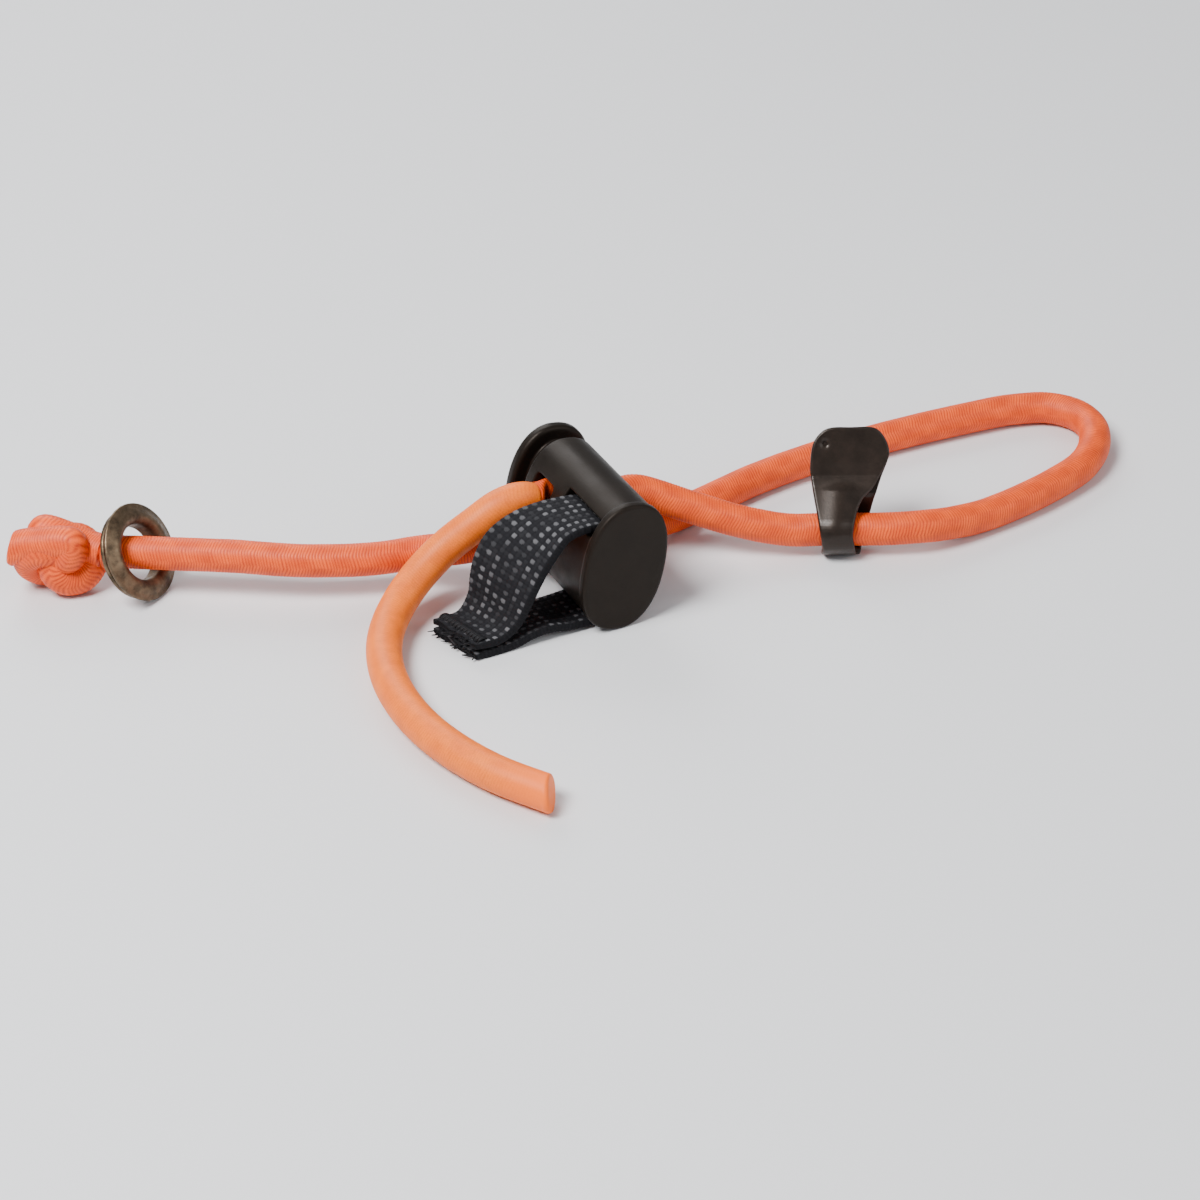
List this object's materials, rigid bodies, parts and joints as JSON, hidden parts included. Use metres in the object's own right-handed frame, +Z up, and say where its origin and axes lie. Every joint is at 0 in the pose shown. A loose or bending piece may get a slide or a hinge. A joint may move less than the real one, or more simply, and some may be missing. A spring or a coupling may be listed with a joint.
{
  "type": "cord lock",
  "caption": "Oval spring-button cord lock on an elastic cord, with a tether tape, a lace hook, an eyelet and a stopper knot.",
  "frame": {"origin": "middle of the underside of the tape's sewn tab, on the surface the part lies on", "axes": "+X from the tab across the lock towards the hook, +Y along the barrel towards its push button, +Z up"},
  "size_m": [0.1244, 0.0683, 0.0151],
  "materials": {
    "black_plastic": "satin moulded acetal, near black",
    "spring_steel": "bright spring wire",
    "orange_elastic": "braided elastic cord, bright orange",
    "black_tape": "coarse plain-weave webbing, black with light flecks",
    "black_thread": "polyester sewing thread",
    "dark_metal": "dark brown-black lacquer, slightly worn",
    "aged_brass": "dark aged bronze"
  },
  "bodies": {
    "lock": {"barrel": "black_plastic", "tether_tape": "black_tape", "tape_bartack": "black_thread", "spring": "spring_steel", "cord_pinch_upper": "orange_elastic", "cord_pinch_lower": "orange_elastic", "cord_tail": "orange_elastic", "cord_eyelet_side": "orange_elastic", "cord_loop": "orange_elastic", "stopper_knot": "orange_elastic"},
    "button": {"plunger": "black_plastic"},
    "lace_hook": {"hook": "dark_metal"},
    "eyelet_ring": {"eyelet": "aged_brass", "eyelet_washer": "aged_brass"}
  },
  "joints": [
    {"name": "plunger_press", "type": "slide", "parent": "lock", "child": "button", "axis": [0, -1, 0], "range_m": [0, 0.0019], "stiffness_N_per_m": 1500, "springref_m": -0.002, "deforming": ["spring"]},
    {"name": "hook_swing", "type": "hinge", "parent": "lock", "child": "lace_hook", "pos_m": [0.0458, -0.00295, 0.00295], "axis": [0.891, -0.454, 0], "range_deg": [-55, 115]},
    {"name": "eyelet_slide", "type": "slide", "parent": "lock", "child": "eyelet_ring", "axis": [0.848, -0.5299, 0], "range_m": [0, 0.009]}
  ]
}
